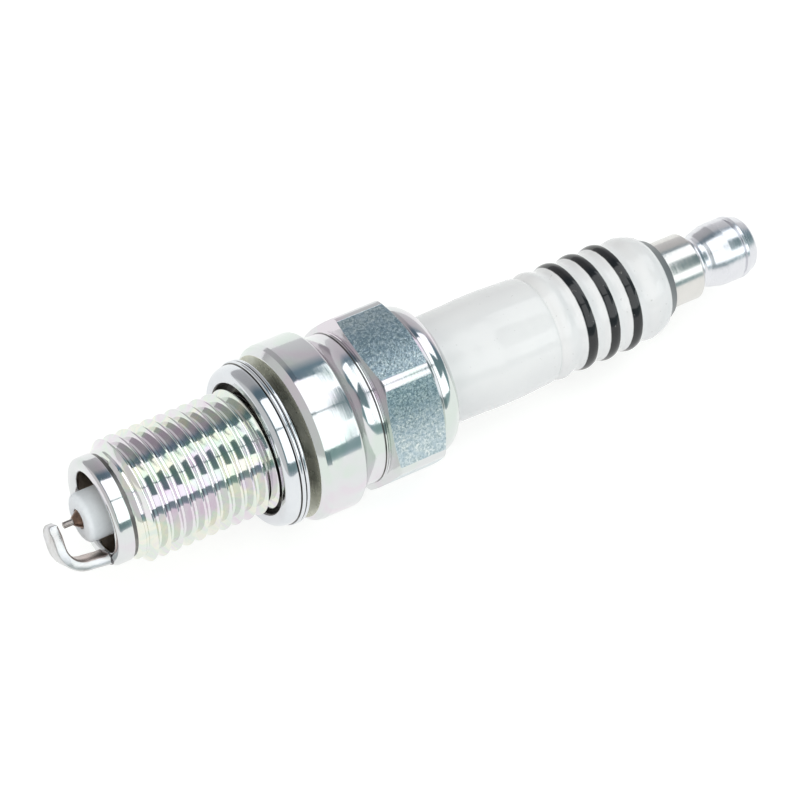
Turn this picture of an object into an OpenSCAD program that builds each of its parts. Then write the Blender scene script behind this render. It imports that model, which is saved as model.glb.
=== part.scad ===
// Spark plug: metal shell, ribbed insulator, firing end, captive gasket and screw-on terminal nut.
// The plug lies along X. The origin is on its axis in the plane of the gasket seat.
// +X points to the terminal, -X to the firing end, and two hexagon flats face +Z and -Z.

/* [Thread] */
// Outside diameter of the shell's thread
thread_d = 12; // [11.8:0.1:12.6]
// Pitch of the shell's thread
thread_pitch = 1.25; // [1:0.25:1.5]
// Reach, from the gasket seat to the shell's front rim
reach = 19; // [17:0.5:22]
// Rounding of the front rim, outside and inside
rim_round = 0.4; // [0.2:0.05:0.5]
// Plain land between the rim and the thread
land_len = 1.55; // [1.2:0.05:2]
// Diameter of that land
land_d = 10.34; // [10.2:0.02:10.5]
// Width of the groove between the land and the thread
lead_groove_w = 0.3; // [0.2:0.05:0.5]
// Length of the plain neck that holds the gasket
gasket_neck_len = 2.7; // [2.6:0.05:3.2]
// Diameter of that neck
gasket_neck_d = 10.4; // [10.2:0.05:10.6]

/* [Collar and hexagon] */
// Outside diameter of the collar
collar_d = 17.24; // [17:0.05:18]
// Length of the collar, from the gasket seat
collar_len = 4.3; // [3.8:0.1:4.8]
// Diameter of the flat seat under the gasket
seat_d = 15.9; // [15.7:0.05:16.4]
// Length of the chamfer round the seat
seat_chamfer = 0.7; // [0.4:0.05:0.8]
// Smallest diameter of the buckled neck behind the collar
waist_d = 14.8; // [14.4:0.1:15.2]
// Length of the buckled neck, from the collar to the hexagon
waist_len = 3.3; // [2.9:0.1:3.7]
// Hexagon, across its flats
hex_af = 16; // [15.8:0.05:16.4]
// Rounding of the hexagon's corners
hex_corner_r = 1.3; // [0.8:0.1:1.6]
// Length of the hexagon
hex_len = 5.8; // [5.5:0.05:6.6]
// Length of the crimped lip behind the hexagon
crimp_len = 2.6; // [2.4:0.05:3]
// Outside diameter of the crimped lip at the hexagon
crimp_d = 15; // [14.8:0.05:15.2]

/* [Bore of the shell] */
// Bore round the insulator's nose
nose_bore_d = 7.66; // [7.4:0.02:7.8]
// Radial width of the inner ledge behind that bore
ledge_w = 0.62; // [0.55:0.01:0.68]
// Bore round the insulator's flange
flange_bore_d = 12.4; // [12.2:0.02:12.5]
// Distance from the gasket seat forward to the inner ledge
ledge_depth = 5.4; // [4.5:0.1:6.5]
// Distance from the gasket seat back to the start of the flange bore
flange_bore_start = 2.6; // [2.2:0.1:3]

/* [Gasket] */
// Outside diameter of the folded gasket
gasket_d = 16.4; // [16.2:0.05:16.8]
// Height of the gasket
gasket_h = 2.2; // [2.05:0.05:2.3]
// Hole in the gasket's front fold
gasket_front_hole_d = 12.7; // [12.6:0.05:12.9]
// Hole in the gasket's inner flange, smaller than the thread
gasket_hole_d = 11.1; // [11:0.05:11.3]
// Thickness of the inner flange
gasket_flange_t = 0.7; // [0.5:0.05:0.8]
// Gap between the loose gasket and its seat, as drawn
gasket_gap = 1.1; // [0.95:0.05:1.2]

/* [Insulator] */
// Height from the gasket seat to the top of the terminal nut
terminal_h = 53; // [50:0.5:58]
// Diameter of the stem behind the crimp
stem_d = 10.74; // [10.6:0.02:10.9]
// Diameter of the stem at its middle
stem_mid_d = 10.98; // [10.8:0.02:11.2]
// Diameter over the ribs
rib_d = 10.8; // [10.6:0.02:11]
// Diameter between the ribs
rib_valley_d = 10.1; // [9.9:0.02:10.3]
// Distance from rib to rib
rib_pitch = 2.57; // [2.3:0.01:2.8]
// Distance from the last low rib to the stem's end
rib_end = 3; // [2.7:0.05:3.3]
// Radial clearance of the insulator in the shell
insulator_gap = 0.08; // [0.05:0.01:0.12]
// Diameter of the nose at its tip
nose_tip_d = 4.7; // [4.5:0.05:4.9]
// Diameter of the nose at its root
nose_root_d = 7; // [6.8:0.05:7.2]
// How far the nose stands out of the shell's rim
nose_out = 1.4; // [1.1:0.05:1.8]
// Bore for the centre electrode
electrode_bore_d = 2; // [1.95:0.05:2.2]
// Bore for the resistor and the terminal stud
stud_bore_d = 3.9; // [3.7:0.05:4.1]

/* [Firing end] */
// Diameter of the centre electrode's body
electrode_d = 1.9; // [1.7:0.02:1.92]
// Diameter of the copper core
core_d = 1.1; // [0.9:0.05:1.3]
// Diameter of the iridium tip
tip_d = 0.6; // [0.5:0.02:0.7]
// How far the iridium tip stands out of the nose
tip_out = 1.55; // [1.3:0.05:1.7]
// Spark gap between the tip and the ground electrode
spark_gap = 0.7; // [0.5:0.05:1]
// Width of the ground electrode
strap_w = 2.45; // [2.2:0.05:2.7]
// Thickness of the ground electrode
strap_t = 1; // [0.85:0.05:1.1]
// Outside bend radius of the ground electrode
strap_bend_r = 2.85; // [2.4:0.05:3]
// How far the ground electrode reaches past the plug's axis
strap_over = 0.5; // [0.35:0.05:0.8]
// Width of the ground electrode's tapered end
strap_end_w = 1.3; // [1.1:0.05:1.8]
// Length of that taper
strap_taper_len = 1; // [0.8:0.05:1.4]
// Turn of the ground electrode round the axis, from +Z towards -Y
strap_turn = 140; // [0:1:359]

/* [Terminal] */
// Diameter of the stud's flange
flange_d = 6.7; // [6.5:0.05:7]
// Length of the stud's flange
flange_len = 4; // [3.6:0.1:4.4]
// Outside diameter of the stud's thread
stud_thread_d = 4; // [3.9:0.05:4.1]
// Pitch of the stud's thread
stud_thread_pitch = 0.7; // [0.6:0.05:0.75]
// Radial clearance between the stud's thread and the nut's bore
nut_gap = 0.05; // [0.02:0.01:0.08]
// Outside diameter of the terminal nut
nut_d = 6.35; // [6.2:0.05:6.5]
// Length of the terminal nut
nut_len = 6.7; // [6.5:0.1:7]
// Smallest diameter of the nut's waist
nut_waist_d = 5.2; // [5.1:0.05:5.4]
// Distance from the nut's foot to the cylinder of its head
nut_head_start = 3.4; // [3.2:0.1:3.6]
// Length of the stud's thread
stud_len = 4.6; // [4:0.1:5]

/* [Inside] */
// Length of the resistor
resistor_len = 11; // [9:0.5:12]
// Length of each glass seal
seal_len = 4; // [3.5:0.1:4.5]
// Distance from the gasket seat forward to the electrode's head
head_depth = 2.6; // [2.4:0.1:3]
// Length of the flange on the insulator
ins_flange_len = 5.6; // [5.2:0.1:5.8]

/* [Hidden] */

round_fn = 96;        // stands for an exact circle
thread_steps = 48;    // flats in one turn of the shell's thread
stud_steps = 32;      // flats in one turn of the stud's thread
arc_steps = 6;        // points in a small rounding

// Shell stations, along X
rim_x = -reach;
land_end_x = rim_x + land_len;
thread_start_x = land_end_x + lead_groove_w;
thread_end_x = -gasket_neck_len;
waist_x = collar_len + waist_len * 0.6;
hex_x = collar_len + waist_len;
hex_end_x = hex_x + hex_len;
crimp_end_x = hex_end_x + crimp_len;

// Shell radii
thread_depth = 0.58 * thread_pitch;
crest_r = thread_d / 2;
root_r = crest_r - thread_depth;
core_r = min(root_r - 0.2, land_d / 2 - 0.2);
crest_flat = thread_pitch / 8;
lip_t = 0.75;
hex_face_r = hex_af / 2;
hex_corner_at = (hex_face_r - hex_corner_r) / cos(30);
hex_tip_r = hex_corner_at + hex_corner_r;
hex_washer_r = 7.55;
hex_rear_r = crimp_d / 2 + 0.05;
hex_front_chamfer = 0.5;
hex_rear_chamfer = 0.7;
ledge_x = -ledge_depth;
ledge_rise = ledge_w;
body_bore_d = nose_bore_d + 2 * ledge_w;
flange_bore_cone = (flange_bore_d - body_bore_d) / 2;
flange_bore_x = flange_bore_start + flange_bore_cone;

// Insulator stations
stem_end_x = terminal_h - nut_len - flange_len;
last_rib_x = stem_end_x - rib_end;
first_rib_x = last_rib_x - 4 * rib_pitch;
nose_end_x = rim_x - nose_out;
washer_t = 0.4;
ins_seat_x = ledge_x + washer_t;
ins_body_r = body_bore_d / 2 - insulator_gap;
ins_flange_r = flange_bore_d / 2 - insulator_gap;
ins_flange_x = flange_bore_x + 0.35;
ins_flange_end_x = ins_flange_x + ins_flange_len;
stem_r = stem_d / 2;

// Packing between the stem and the shell, behind the insulator's flange
ring_space = flange_bore_d / 2 - stem_r;
wire_gap = 0.02;
ring_r = ring_space / 2 - wire_gap;
ring_mid_r = stem_r + ring_space / 2;
ins_shoulder_len = ins_flange_r - stem_r;
front_ring_x = ins_flange_end_x + ins_shoulder_len + ring_r;
lip_curl = 0.45;
rear_ring_x = crimp_end_x - lip_t - ring_r - lip_curl;

// Firing end
tip_x = nose_end_x - tip_out;
taper_len = 0.62;
electrode_end_x = nose_end_x - taper_len;
tip_sunk = 0.4;
strap_in_x = tip_x - spark_gap;
strap_out_x = strap_in_x - strap_t;
strap_root_r = 4.7;

// Inside the insulator
head_x = -head_depth;
head_len = 1.8;
bore_step_x = head_x - 0.6;
lower_seal_end_x = head_x + head_len + seal_len;
resistor_end_x = lower_seal_end_x + resistor_len;
upper_seal_end_x = resistor_end_x + seal_len;
stud_root_len = 2.6;

// Terminal
flange_x = stem_end_x;
nut_x = flange_x + flange_len;
nut_end_x = terminal_h;
stud_end_x = nut_x + stud_len;
nut_shoulder_x = nut_x + nut_head_start;
nut_r = nut_d / 2;
stud_crest_r = stud_thread_d / 2;
stud_root_r = stud_crest_r - 0.6 * stud_thread_pitch;

// Turns a profile of [radius, x] points round the X axis
module spin(points) {
  rotate([0, 90, 0])
    rotate_extrude($fn = round_fn)
      polygon(points);
}

// A straight round bar along X
module bar(r, x0, x1) {
  translate([x0, 0, 0])
    rotate([0, 90, 0])
      cylinder(r = r, h = x1 - x0, $fn = round_fn);
}

// Points on an arc, for a profile
function arc(cr, cx, r, a0, a1, n = arc_steps) =
  [for (i = [0:n]) let (a = a0 + (a1 - a0) * i / n) [cr + r * cos(a), cx + r * sin(a)]];

// A right-hand screw, one polyhedron along Z, with open turns at both ends to be cut off
module screw(crest, root, pitch, flat, z0, turns, steps) {
  flank = (crest - root) * tan(30);
  offs = [0, flat, flat + flank, pitch - flank];
  radii = [crest, crest, root, root];
  rows = 4 * turns + 1;
  points = concat(
    [for (j = [0:steps - 1]) for (i = [0:rows - 1])
      let (a = 360 * j / steps, r = radii[i % 4])
      [r * cos(a), r * sin(a), z0 + pitch * (floor(i / 4) + j / steps) + offs[i % 4]]],
    [[0, 0, z0 - pitch], [0, 0, z0 + pitch * (turns + 2)]]);
  low = steps * rows;
  high = low + 1;
  last = (steps - 1) * rows;
  sides = [for (j = [0:steps - 2]) for (i = [0:rows - 2]) for (k = [0, 1])
    let (a = j * rows + i, b = a + rows)
    k == 0 ? [a, b + 1, b] : [a, a + 1, b + 1]];
  seam = [for (i = [0:rows - 6]) for (k = [0, 1])
    let (a = last + i, b = i + 4)
    k == 0 ? [a, b + 1, b] : [a, a + 1, b + 1]];
  start = concat(
    [for (j = [0:steps - 2]) [low, j * rows, (j + 1) * rows]],
    [[low, last, 4]],
    [for (i = [0:3]) [low, i + 1, i]]);
  finish = concat(
    [for (j = [0:steps - 2]) [high, (j + 1) * rows + rows - 1, j * rows + rows - 1]],
    [for (i = [0:3]) [high, last + rows - 2 - i, last + rows - 1 - i]],
    [[high, rows - 1, last + rows - 5]]);
  polyhedron(points, concat(sides, seam, start, finish));
}

module shell_thread() {
  turns = ceil((thread_end_x - thread_start_x) / thread_pitch) + 2;
  intersection() {
    rotate([0, 90, 0])
      screw(crest_r, root_r, thread_pitch, crest_flat,
        thread_start_x - 1.6 * thread_pitch, turns, thread_steps);
    spin([[0, thread_start_x], [core_r - 0.1, thread_start_x],
      [crest_r + 0.2, thread_start_x + crest_r + 0.3 - core_r],
      [crest_r + 0.2, thread_end_x - 0.6],
      [core_r, thread_end_x + 0.2], [0, thread_end_x + 0.2]]);
  }
}

module shell_core() {
  spin(concat(
    [[0, rim_x]],
    arc(land_d / 2 - rim_round, rim_x + rim_round, rim_round, -90, 0),
    [[land_d / 2, land_end_x], [core_r, land_end_x],
     [core_r, thread_end_x], [gasket_neck_d / 2, thread_end_x],
     [gasket_neck_d / 2, 0], [seat_d / 2, 0],
     [collar_d / 2 - 0.08, seat_chamfer], [collar_d / 2, seat_chamfer + 0.3],
     [collar_d / 2, collar_len - 0.2], [collar_d / 2 - 0.12, collar_len],
     [collar_d / 2 - 0.45, collar_len + 0.28]],
    [for (i = [0:8]) let (t = i / 8)
      [waist_d / 2 + (collar_d / 2 - 0.6 - waist_d / 2) * pow(1 - t, 2),
       collar_len + 0.4 + (waist_x - collar_len - 0.4) * t]],
    [for (i = [1:5]) let (t = i / 5)
      [waist_d / 2 + (hex_washer_r - waist_d / 2) * t * t, waist_x + (hex_x - waist_x) * t]],
    [[hex_washer_r, hex_end_x - 0.4], [0, hex_end_x - 0.4]]));
}

// A ball centred on the X axis whose surface passes through two points given as radius and x
module dome(r0, x0, r1, x1) {
  cx = (r1 * r1 - r0 * r0 + x1 * x1 - x0 * x0) / (2 * (x1 - x0));
  translate([cx, 0, 0])
    rotate([0, 90, 0])
      sphere(r = norm([r0, x0 - cx]), $fn = round_fn);
}

// A hexagon with rounded corners, and flats that face the X axis of its own plane
function hex_outline() =
  [for (k = [0:5]) for (i = [0:arc_steps])
    let (mid = 60 * k + 30, a = mid - 30 + 60 * i / arc_steps)
    [hex_corner_at * cos(mid) + hex_corner_r * cos(a),
     hex_corner_at * sin(mid) + hex_corner_r * sin(a)]];

module hexagon() {
  intersection() {
    translate([hex_x, 0, 0])
      rotate([0, 90, 0])
        linear_extrude(hex_len)
          polygon(hex_outline());
    dome(hex_washer_r, hex_x, hex_tip_r, hex_x + hex_front_chamfer);
    dome(hex_rear_r, hex_end_x, hex_tip_r, hex_end_x - hex_rear_chamfer);
  }
}

// The lip rolled in over the packing, outside and inside
function crimp_curve(r0, r1, x0, x1) =
  [for (i = [0:10]) let (a = 90 * i / 10) [r1 + (r0 - r1) * cos(a), x0 + (x1 - x0) * sin(a)]];

module crimp() {
  spin(concat([[0, hex_end_x - 1], [crimp_d / 2, hex_end_x - 1], [crimp_d / 2, hex_end_x + 0.4]],
    crimp_curve(crimp_d / 2, stem_r + 0.12, hex_end_x + 0.4, crimp_end_x),
    [[0, crimp_end_x]]));
}

module shell_bore() {
  spin(concat(
    [[0, rim_x - 1], [nose_bore_d / 2 + rim_round, rim_x - 1]],
    arc(nose_bore_d / 2 + rim_round, rim_x + rim_round, rim_round, 270, 180),
    [[nose_bore_d / 2, ledge_x - ledge_rise],
     [body_bore_d / 2, ledge_x], [body_bore_d / 2, flange_bore_start],
     [flange_bore_d / 2, flange_bore_x], [flange_bore_d / 2, rear_ring_x]],
    arc(ring_mid_r, rear_ring_x, ring_space / 2, 15, 90, 5),
    [[stem_r + insulator_gap, rear_ring_x + ring_space / 2],
     [stem_r + insulator_gap, crimp_end_x + 1], [0, crimp_end_x + 1]]));
}

module metal_shell() {
  color([0.78, 0.79, 0.8])
    difference() {
      union() {
        shell_core();
        shell_thread();
        hexagon();
        crimp();
      }
      shell_bore();
    }
}

// The strap's profile in the plane through the axis, as [radius, x]
module strap_profile() {
  bend_r = strap_root_r - 0.2 - strap_bend_r;
  bend_x = strap_out_x + strap_bend_r;
  inner_r = strap_bend_r - strap_t;
  polygon(concat(
    [[strap_root_r, rim_x]],
    arc(bend_r, bend_x, strap_bend_r, 0, -90, 12),
    [[-strap_over + 0.15, strap_out_x + 0.25], [-strap_over, strap_out_x + 0.45],
     [-strap_over, strap_in_x - 0.12], [-strap_over + 0.12, strap_in_x]],
    arc(bend_r, bend_x, inner_r, -90, 0, 10),
    [[strap_root_r - strap_t, rim_x]]));
}

// Half the strap's width at a radius, which shrinks towards the tapered end
function strap_half(r) =
  strap_end_w / 2 + (strap_w - strap_end_w) / 2 * (r + strap_over) / strap_taper_len;

// The strap seen along the axis, as [-radius, width], wider than the strap behind the taper
module strap_plan() {
  near = 0.5 - strap_over;
  end = -strap_over - 0.3;
  far = strap_taper_len + near;
  polygon([[-end, -strap_half(end)], [-far, -strap_half(far)], [-strap_root_r - 1, -strap_half(far)],
    [-strap_root_r - 1, strap_half(far)], [-far, strap_half(far)], [-end, strap_half(end)]]);
}

module ground_electrode() {
  color([0.66, 0.62, 0.6])
    rotate([strap_turn, 0, 0])
      intersection() {
        rotate([0, 90, 0])
          rotate([90, 0, 180])
            translate([0, 0, -strap_w / 2])
              linear_extrude(strap_w)
                strap_profile();
        translate([strap_out_x - 1, 0, 0])
          rotate([0, 90, 0])
            linear_extrude(rim_x - strap_out_x + 2)
              strap_plan();
      }
}

module gasket() {
  back = -gasket_gap;
  front = back - gasket_h;
  out_r = gasket_d / 2;
  hole_r = gasket_front_hole_d / 2;
  color([0.74, 0.75, 0.76])
    spin(concat(
      [[gasket_hole_d / 2, back], [out_r - 0.6, back]],
      arc(out_r - 0.55, back - 0.5, 0.4, 90, 0, 4),
      [[out_r - 0.15, back - 1], [out_r - 0.3, back - 1.12], [out_r - 0.12, back - 1.22]],
      arc(out_r - 0.5, front + 0.5, 0.5, 30, -90, 8),
      arc(hole_r + 0.35, front + 0.35, 0.35, -90, -180, 4),
      [[hole_r, back - gasket_flange_t], [gasket_hole_d / 2, back - gasket_flange_t]]));
}

// Outline of the stem from the crimp to the last rib
function rib_r(x) =
  rib_valley_d / 2 + (rib_d - rib_valley_d) / 2 * (0.5 + 0.5 * cos(360 * (x - first_rib_x) / rib_pitch));

module insulator() {
  tip_r = nose_tip_d / 2;
  step_x = first_rib_x - rib_pitch * 0.4;
  mid_x = crimp_end_x + (step_x - crimp_end_x) * 0.55;
  color([0.96, 0.96, 0.95])
    spin(concat(
      [[electrode_bore_d / 2, nose_end_x]],
      arc(tip_r - 0.5, nose_end_x + 0.5, 0.5, -90, 0),
      [[tip_r, rim_x + 1.2], [nose_root_d / 2, ledge_x - 2.2],
       [nose_bore_d / 2 - 0.12, ledge_x - 0.5],
       [nose_bore_d / 2 - 0.12, ins_seat_x - ledge_rise], [ins_body_r, ins_seat_x],
       [ins_body_r, flange_bore_start + 0.3], [ins_flange_r, ins_flange_x],
       [ins_flange_r, ins_flange_end_x]],
      [for (i = [1:5]) let (a = 90 * i / 5)
        [stem_r + ins_shoulder_len * cos(a), ins_flange_end_x + ins_shoulder_len * sin(a)]],
      [[stem_r, crimp_end_x + 1], [stem_r + (stem_mid_d - stem_d) / 3, crimp_end_x + 3],
       [stem_mid_d / 2, mid_x - 1], [stem_mid_d / 2, mid_x + 1],
       [stem_r + 0.04, step_x - 1.6], [stem_r - 0.04, step_x - 0.8],
       [stem_r - 0.15, step_x - 0.2], [stem_r - 0.17, step_x + 0.1]],
      [for (i = [-2:32]) let (x = first_rib_x + rib_pitch * i / 8) [rib_r(x), x]],
      [[rib_d / 2 - 0.24, last_rib_x + 0.15], [rib_d / 2 - 0.35, last_rib_x + 0.8],
       [rib_d / 2 - 0.63, last_rib_x + 1.55], [rib_d / 2 - 0.93, last_rib_x + 1.85],
       [3.8, stem_end_x], [stud_bore_d / 2, stem_end_x],
       [stud_bore_d / 2, bore_step_x + (stud_bore_d - electrode_bore_d) / 2],
       [electrode_bore_d / 2, bore_step_x]]));
}

module centre_electrode() {
  r = electrode_d / 2;
  head_r = stud_bore_d / 2 - 0.3;
  color([0.72, 0.66, 0.6])
    difference() {
      spin([[0, electrode_end_x], [0.42, electrode_end_x], [r - 0.12, nose_end_x - 0.05],
        [r, nose_end_x + 0.2], [r, bore_step_x], [head_r, bore_step_x + head_r - r],
        [head_r, head_x + 0.7], [r, head_x + 1],
        [r, head_x + head_len], [0, head_x + head_len]]);
      bar(core_d / 2, rim_x + 1.5, head_x + head_len + 1);
      bar(tip_d / 2, electrode_end_x - 1, electrode_end_x + tip_sunk);
    }
}

module electrode_copper_core() {
  color([0.78, 0.45, 0.3])
    bar(core_d / 2, rim_x + 1.5, head_x + head_len);
}

module iridium_tip() {
  color([0.82, 0.82, 0.84])
    bar(tip_d / 2, tip_x, electrode_end_x + tip_sunk);
}

// The washer between the shell's ledge and the insulator's shoulder
module seat_washer() {
  r_in = nose_bore_d / 2;
  color([0.7, 0.7, 0.68])
    spin([[r_in, ledge_x - ledge_rise], [body_bore_d / 2 - 0.001, ledge_x - 0.001],
      [body_bore_d / 2 - insulator_gap, ins_seat_x],
      [r_in - 0.12, ins_seat_x - ledge_rise]]);
}

module packing_ring(x) {
  translate([x, 0, 0])
    rotate([0, 90, 0])
      rotate_extrude($fn = round_fn)
        translate([ring_mid_r, 0])
          circle(r = ring_r, $fn = round_fn);
}

module front_packing_ring() {
  color([0.6, 0.6, 0.62])
    packing_ring(front_ring_x);
}

module rear_packing_ring() {
  color([0.6, 0.6, 0.62])
    packing_ring(rear_ring_x);
}

module talc_filler() {
  color([0.88, 0.86, 0.8])
    spin([[stem_r, front_ring_x + ring_r], [flange_bore_d / 2, front_ring_x + ring_r],
      [flange_bore_d / 2, rear_ring_x - ring_r], [stem_r, rear_ring_x - ring_r]]);
}

module lower_glass_seal() {
  r = stud_bore_d / 2;
  color([0.35, 0.36, 0.38])
    spin([[electrode_d / 2, head_x + 1], [r, head_x + 0.75],
      [r, lower_seal_end_x], [0, lower_seal_end_x], [0, head_x + head_len],
      [electrode_d / 2, head_x + head_len]]);
}

module resistor() {
  color([0.2, 0.2, 0.22])
    bar(stud_bore_d / 2, lower_seal_end_x, resistor_end_x);
}

module upper_glass_seal() {
  r = stud_bore_d / 2;
  color([0.35, 0.36, 0.38])
    spin([[0, resistor_end_x], [r, resistor_end_x], [r, upper_seal_end_x],
      [r - 0.5, upper_seal_end_x], [r - 0.5, upper_seal_end_x - stud_root_len],
      [0, upper_seal_end_x - stud_root_len]]);
}

module stud_thread() {
  turns = ceil((stud_end_x - nut_x) / stud_thread_pitch) + 3;
  intersection() {
    rotate([0, 90, 0])
      screw(stud_crest_r, stud_root_r, stud_thread_pitch, stud_thread_pitch / 8,
        nut_x - 1.6 * stud_thread_pitch, turns, stud_steps);
    spin([[0, nut_x - 0.5], [stud_root_r - 0.15, nut_x - 0.5], [stud_crest_r + 0.1, nut_x + 0.4],
      [stud_crest_r + 0.1, stud_end_x - 0.5], [stud_root_r - 0.1, stud_end_x],
      [0, stud_end_x]]);
  }
}

module terminal_stud() {
  r = flange_d / 2;
  color([0.82, 0.8, 0.74])
    union() {
      spin([[0, upper_seal_end_x - stud_root_len],
        [stud_bore_d / 2 - 0.5, upper_seal_end_x - stud_root_len],
        [stud_bore_d / 2 - 0.5, upper_seal_end_x], [stud_bore_d / 2 - 0.05, upper_seal_end_x],
        [stud_bore_d / 2 - 0.05, flange_x], [r - 0.2, flange_x], [r, flange_x + 0.2],
        [r, nut_x - 0.4], [r - 0.3, nut_x - 0.08], [r - 0.5, nut_x],
        [stud_root_r - 0.2, nut_x], [stud_root_r - 0.2, stud_end_x - 0.3],
        [0, stud_end_x - 0.3]]);
      stud_thread();
    }
}

module terminal_nut() {
  w = nut_waist_d / 2;
  color([0.8, 0.81, 0.83])
    difference() {
      spin([[0, nut_x], [w + 0.1, nut_x], [w + 0.18, nut_x + 0.2], [w, nut_x + 0.6],
        [w, nut_x + 1.1], [w + 0.2, nut_x + 1.5], [w + 0.35, nut_x + 2.1],
        [nut_r - 0.06, nut_x + 2.7], [nut_r, nut_shoulder_x],
        [nut_r, nut_end_x - 2.05], [nut_r - 0.22, nut_end_x - 1.95],
        [nut_r - 0.22, nut_end_x - 1.8], [nut_r, nut_end_x - 1.7],
        [nut_r, nut_end_x - 1.4], [nut_r - 0.42, nut_end_x - 0.35],
        [nut_r - 0.8, nut_end_x], [0, nut_end_x]]);
      bar(stud_crest_r + nut_gap, nut_x - 1, stud_end_x + 0.4);
    }
}

metal_shell();
ground_electrode();
gasket();
insulator();
centre_electrode();
electrode_copper_core();
iridium_tip();
seat_washer();
front_packing_ring();
talc_filler();
rear_packing_ring();
lower_glass_seal();
resistor();
upper_glass_seal();
terminal_stud();
terminal_nut();
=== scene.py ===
"""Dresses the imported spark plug: fine meshes, materials, studio and camera. Metres, in the CAD frame."""

import math
import random

import bmesh
import bpy
from mathutils import Matrix, Vector


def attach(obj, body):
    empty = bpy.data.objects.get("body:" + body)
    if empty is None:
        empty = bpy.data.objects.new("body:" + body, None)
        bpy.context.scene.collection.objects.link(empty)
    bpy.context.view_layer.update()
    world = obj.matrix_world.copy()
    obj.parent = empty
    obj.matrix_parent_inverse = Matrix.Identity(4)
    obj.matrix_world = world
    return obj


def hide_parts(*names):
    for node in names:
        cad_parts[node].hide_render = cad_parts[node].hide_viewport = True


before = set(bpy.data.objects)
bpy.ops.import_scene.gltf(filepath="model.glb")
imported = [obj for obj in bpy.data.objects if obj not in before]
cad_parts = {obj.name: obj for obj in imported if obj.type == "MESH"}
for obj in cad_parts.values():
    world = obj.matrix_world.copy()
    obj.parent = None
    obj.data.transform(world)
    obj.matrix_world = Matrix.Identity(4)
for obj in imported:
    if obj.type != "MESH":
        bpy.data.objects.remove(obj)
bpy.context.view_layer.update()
random.seed(7)
bpy.context.scene.view_settings.view_transform = "Standard"

MM = 0.001
TINY = 1e-6
TAU = 2 * math.pi
COS30, TAN30 = math.cos(math.radians(30)), math.tan(math.radians(30))
ROUND = 256          # segments of a turned surface
SIDE_SHARE = 0.45    # the most of a side that the rounding of one corner takes
BODY = "plug"


# ---------------------------------------------------------------- camera

# fitted to the photo's edges: focal length in mm for a 36 mm sensor, place in mm, and two axes
LENS = 139.8
CAM_AT = (-101.02, -145.179, 222.889)
CAM_RIGHT = Vector((0.8485, -0.522085, 0.09515))
CAM_UP = Vector((0.3563, 0.692527, 0.627613))

cam_data = bpy.data.cameras.new("camera")
cam_data.lens = LENS
cam_data.sensor_width = 36.0
cam_data.clip_start = 0.01
cam_data.clip_end = 20
camera = bpy.data.objects.new("camera", cam_data)
bpy.context.scene.collection.objects.link(camera)
right = CAM_RIGHT.normalized()
back = right.cross(CAM_UP).normalized()
up = back.cross(right)
turn = Matrix((right, up, back)).transposed()
camera.matrix_world = Matrix.Translation(Vector(CAM_AT) * MM) @ turn.to_4x4()
bpy.context.scene.camera = camera


# ---------------------------------------------------------------- mesh helpers

def link(name, verts, faces, mats, face_mats=None):
    """A smooth-shaded mesh object from points in mm."""
    mesh = bpy.data.meshes.new(name)
    mesh.from_pydata([Vector(v) * MM for v in verts], [], faces)
    for m in mats:
        mesh.materials.append(m)
    if face_mats:
        mesh.polygons.foreach_set("material_index", face_mats)
    mesh.polygons.foreach_set("use_smooth", [True] * len(mesh.polygons))
    mesh.validate()
    mesh.update()
    bm = bmesh.new()
    bm.from_mesh(mesh)
    bmesh.ops.recalc_face_normals(bm, faces=bm.faces)
    bm.to_mesh(mesh)
    bm.free()
    obj = bpy.data.objects.new(name, mesh)
    bpy.context.scene.collection.objects.link(obj)
    return obj


def place(obj, nodes=(), body=BODY):
    """Gives a piece its body and the CAD nodes that it stands for."""
    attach(obj, body)
    if nodes:
        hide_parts(*nodes)


def sharpen(obj, angle):
    """Marks edges sharper than angle, so that smooth shading stops at them."""
    bm = bmesh.new()
    bm.from_mesh(obj.data)
    limit = math.radians(angle)
    for e in bm.edges:
        if len(e.link_faces) == 2 and e.calc_face_angle(0) > limit:
            e.smooth = False
    bm.to_mesh(obj.data)
    bm.free()


def rounded(points, radii, steps=5):
    """A closed outline of (r, x) points with its corners rounded by the given radii."""
    out = []
    n = len(points)
    for i, (p, rad) in enumerate(zip(points, radii)):
        a = Vector(points[i - 1])
        b = Vector(p)
        c = Vector(points[(i + 1) % n])
        u, v = (a - b), (c - b)
        if rad <= 0 or u.length < TINY or v.length < TINY:
            out.append(tuple(b))
            continue
        u.normalize()
        v.normalize()
        half = math.acos(max(-1, min(1, u.dot(v)))) / 2
        cut = min(rad / max(math.tan(half), 1e-3), SIDE_SHARE * (a - b).length, SIDE_SHARE * (c - b).length)
        s, e = b + u * cut, b + v * cut
        for k in range(steps + 1):
            t = k / steps
            q = s * (1 - t) ** 2 + b * (2 * t * (1 - t)) + e * t ** 2
            out.append(tuple(q))
    return out


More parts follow.
